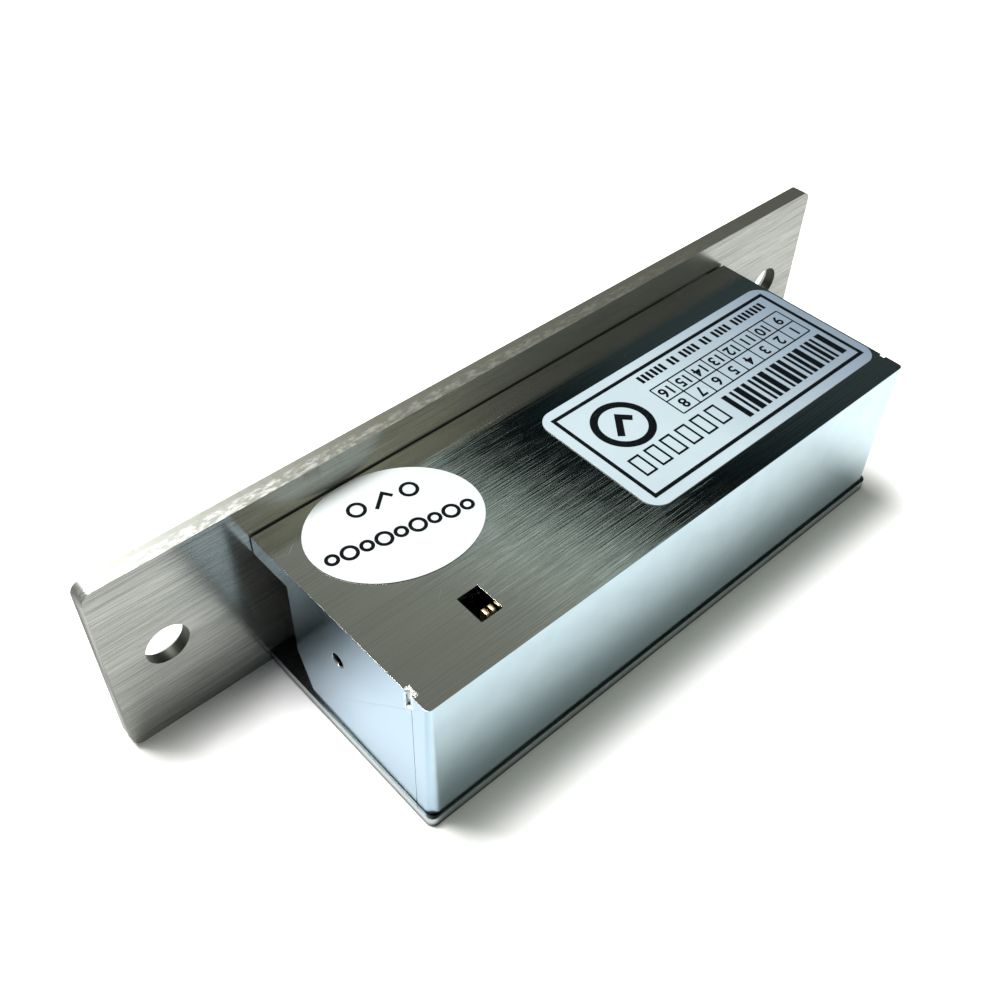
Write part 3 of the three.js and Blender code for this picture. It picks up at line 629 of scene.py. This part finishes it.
class Print:
    """Flat ink shapes in one mesh. Places are in millimetres on the label's own plane."""

    def __init__(self, name):
        self.name = name
        self.ink = bmesh.new()

    def polygon(self, points):
        """One flat face with corners at the given points."""
        self.ink.faces.new([self.ink.verts.new((x, y, 0)) for x, y in points])

    def bar(self, left, right, low, high):
        self.polygon([(left, low), (right, low), (right, high), (left, high)])

    def band(self, outer, inner):
        """The strip between two outlines with the same number of points."""
        count = len(outer)
        for i in range(count):
            j = (i + 1) % count
            self.polygon([outer[i], outer[j], inner[j], inner[i]])

    def box(self, left, right, low, high, line):
        """A rectangle drawn with a line of that width, inside the given edges."""
        outer = [(left, low), (right, low), (right, high), (left, high)]
        inner = [
            (left + line, low + line),
            (right - line, low + line),
            (right - line, high - line),
            (left + line, high - line),
        ]
        self.band(outer, inner)

    def circle(self, centre, radius):
        """The corners of a circle, which ring draws."""
        turns = [2 * math.pi * i / RING_STEPS for i in range(RING_STEPS)]
        return [(centre[0] + radius * math.cos(t), centre[1] + radius * math.sin(t)) for t in turns]

    def ring(self, centre, radius, line):
        """A circle drawn with a line of that width, inside the radius."""
        self.band(self.circle(centre, radius), self.circle(centre, radius - line))

    def tick(self, centre, size, line):
        """A check mark about size wide, as one outline around its short and its long stroke."""
        x, y = centre
        start = Vector((x - 0.50 * size, y - 0.02 * size))
        foot = Vector((x - 0.14 * size, y - 0.38 * size))
        end = Vector((x + 0.50 * size, y + 0.40 * size))
        short = (foot - start).normalized()
        long = (end - foot).normalized()
        beside_short = Vector((-short.y, short.x)) * (line / 2)
        beside_long = Vector((-long.y, long.x)) * (line / 2)
        elbow = (beside_short + beside_long) / (1 + short.dot(long))
        outline = [start + beside_short, start - beside_short, foot - elbow]
        outline += [end - beside_long, end + beside_long, foot + elbow]
        self.polygon([tuple(corner) for corner in outline])

    def numeral(self, text, centre, height):
        """A number in Blender's own font, turned into flat faces."""
        curve = bpy.data.curves.new("numeral", "FONT")
        curve.body = text
        curve.size = height / NUMERAL_SHARE
        curve.align_x = "CENTER"
        curve.align_y = "CENTER"
        curve.resolution_u = 4
        curve.offset = NUMERAL_BOLD * curve.size
        shape = bpy.data.objects.new("numeral", curve)
        glyphs = bpy.data.meshes.new_from_object(shape)
        glyphs.transform(Matrix.Translation((centre[0], centre[1], 0)))
        self.ink.from_mesh(glyphs)
        bpy.data.objects.remove(shape)

    def greeked(self, words, left, low, height, pitch, gap):
        """A line of text as plain strokes: words holds how many strokes each word has."""
        stroke_width = 0.62 * pitch
        for strokes in words:
            for _ in range(strokes):
                self.bar(left, left + stroke_width, low, low + height)
                left += pitch
            left += gap

    def lay(self, label, centre=(0, 0), turn=0.0):
        """Puts the print on top of a label and makes it ride with the case."""
        mesh = bpy.data.meshes.new(self.name)
        self.ink.to_mesh(mesh)
        self.ink.free()
        mesh.materials.append(label_ink())
        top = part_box(label)[1].z
        place = Matrix.Translation((centre[0] * MM, centre[1] * MM, top + INK_LIFT * MM))
        mesh.transform(place @ Matrix.Rotation(turn, 4, "Z") @ Matrix.Scale(MM, 4))
        piece = bpy.data.objects.new(self.name, mesh)
        bpy.context.collection.objects.link(piece)
        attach(piece, "housing")


def print_main_label():
    """A border, a bar pattern, six empty boxes, a grid, a line of small print and a tick mark."""
    ink = Print("main_label_print")
    ink.box(-48.7, 2.8, 13.3, 35.2, line=0.7)
    print_bars(ink, left=-47.0, low=27.0, high=33.0)
    for i in range(6):
        left = -19.4 + 3.47 * i
        ink.box(left, left + 2.4, 27.1, 31.4, line=0.4)
    print_grid(ink, left=-46.7, low=18.4, columns=8, cell_width=4.05, cell_height=3.6)
    ink.greeked((8, 4, 2, 4, 2, 6), left=-46.2, low=14.8, height=1.8, pitch=1.04, gap=0.95)
    mark = (-5.3, 21.1)
    ink.ring(mark, 5.2, line=1.3)
    ink.tick(mark, 4.4, line=1.2)
    ink.lay("main_label")


def print_bars(ink, left, low, high):
    """Upright bars of a few widths, with a wider gap after every third. They encode nothing."""
    widths = (1.3, 0.6, 0.9, 0.6, 1.3, 0.9, 0.6, 0.9, 1.3, 0.6, 1.3, 0.9, 0.6, 0.9, 1.3, 0.6, 1.1)
    gap, wide_gap = 0.5, 0.8
    for i, width in enumerate(widths):
        ink.bar(left, left + width, low, high)
        left += width + (gap if i % 3 else wide_gap)


def print_grid(ink, left, low, columns, cell_width, cell_height):
    """Two rows of cells, numbered from 1 in the upper row and on in the lower one."""
    half_line = 0.14
    for row in range(3):
        y = low + cell_height * row
        ink.bar(left, left + columns * cell_width, y - half_line, y + half_line)
    for column in range(columns + 1):
        x = left + cell_width * column
        ink.bar(x - half_line, x + half_line, low, low + 2 * cell_height)
    for number in range(1, 2 * columns + 1):
        column = (number - 1) % columns
        row = 1 if number <= columns else 0
        centre = (left + cell_width * (column + 0.5), low + cell_height * (row + 0.5))
        ink.numeral(str(number), centre, height=2.1)


def print_oval_label():
    """A row of rings, and a tick between two more of them below it."""
    ink = Print("oval_label_print")
    for i in range(9):
        ink.ring((-10.6 + 2.65 * i, 2.0), 1.4 if i % 2 else 1.1, line=0.55)
    for x in (-4.8, 3.6):
        ink.ring((x, -4.8), 1.5, line=0.55)
    ink.tick((-0.6, -4.8), 3.2, line=0.6)
    low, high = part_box("oval_label")
    ink.lay("oval_label", (low + high) / (2 * MM), OVAL_TURN + PRINT_TURN)


# ---------------------------------------------------------------- the scene round the part


def lay_table():
    """A white plane through the two edges that the part lies on."""
    plate_edge = Vector((0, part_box("faceplate")[1].y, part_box("faceplate")[0].z))
    cover_edge = Vector((0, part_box("bottom_cover")[1].y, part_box("bottom_cover")[0].z))
    slope = cover_edge - plate_edge
    bpy.ops.mesh.primitive_plane_add(size=TABLE_WIDTH, location=plate_edge)
    table = bpy.context.object
    table.name = "table"
    table.rotation_euler.x = math.atan2(slope.z, slope.y)
    table.data.materials.append(table_white())


def add_window():
    """A soft light high above the part, a little in front of its faceplate."""
    light = bpy.data.lights.new("window", "AREA")
    light.size = WINDOW_SIZE
    light.energy = WINDOW_POWER
    light.color = WINDOW_COLOUR
    lamp = bpy.data.objects.new("window", light)
    bpy.context.collection.objects.link(lamp)
    lamp.location = WINDOW_PLACE
    beam = Vector(WINDOW_TARGET) - Vector(WINDOW_PLACE)
    lamp.rotation_euler = beam.to_track_quat("-Z", "Y").to_euler()


def room_tone(tree):
    """The room's tone by direction: dark far towards -X, with a bright stripe next to it."""
    direction = tree.nodes.new("ShaderNodeTexCoord").outputs["Generated"]
    across = tree.nodes.new("ShaderNodeVectorMath")
    across.operation = "DOT_PRODUCT"
    across.inputs[1].default_value = (1, ROOM_SKEW, 0)
    tree.links.new(direction, across.inputs[0])
    reach = math.hypot(1, ROOM_SKEW)
    shift = tree.nodes.new("ShaderNodeMapRange")
    shift.inputs["From Min"].default_value = -reach
    shift.inputs["From Max"].default_value = reach
    tree.links.new(across.outputs["Value"], shift.inputs["Value"])
    tone = tree.nodes.new("ShaderNodeValToRGB")
    tree.links.new(shift.outputs["Result"], tone.inputs["Fac"])
    ramp = tone.color_ramp
    ramp.elements.remove(ramp.elements[0])
    ramp.elements[0].position = 1.0
    ramp.elements[0].color = (*ROOM_TONES[-1][1], 1)
    for place, colour in ROOM_TONES[:-1]:
        ramp.elements.new((place + reach) / (2 * reach)).color = (*colour, 1)
    return tone.outputs["Color"]


def light_room():
    """The room that lights the part and that its metals mirror.

    Behind the table the picture shows a plain pale backdrop in its place.
    """
    world = bpy.data.worlds.new("room")
    world.use_nodes = True
    bpy.context.scene.world = world
    tree = world.node_tree
    room = tree.nodes["Background"]
    tree.links.new(room_tone(tree), room.inputs["Color"])
    backdrop = tree.nodes.new("ShaderNodeBackground")
    backdrop.inputs["Color"].default_value = (*BACKDROP_TONE, 1)
    choice = tree.nodes.new("ShaderNodeMixShader")
    seen = tree.nodes.new("ShaderNodeLightPath").outputs["Is Camera Ray"]
    tree.links.new(seen, choice.inputs[0])
    tree.links.new(room.outputs[0], choice.inputs[1])
    tree.links.new(backdrop.outputs[0], choice.inputs[2])
    tree.links.new(choice.outputs[0], tree.nodes["World Output"].inputs["Surface"])


def place_camera():
    """A camera above the case's back, looking down at it and along it."""
    place = Vector(CAMERA_PLACE) * MM
    target = Vector(CAMERA_TARGET) * MM
    camera = bpy.data.cameras.new("camera")
    camera.lens = CAMERA_LENS
    camera.sensor_width = SENSOR_WIDTH
    camera.clip_start = NEAR_CLIP
    view = bpy.data.objects.new("camera", camera)
    bpy.context.collection.objects.link(view)
    level = (target - place).to_track_quat("-Z", "Y").to_matrix().to_4x4()
    view.matrix_world = Matrix.Translation(place) @ level @ Matrix.Rotation(CAMERA_ROLL, 4, "Z")
    bpy.context.scene.camera = view


dress_cad_pieces()
bend_lever_spring()
print_main_label()
print_oval_label()
lay_table()
light_room()
add_window()
place_camera()
bpy.context.scene.view_settings.view_transform = "Standard"
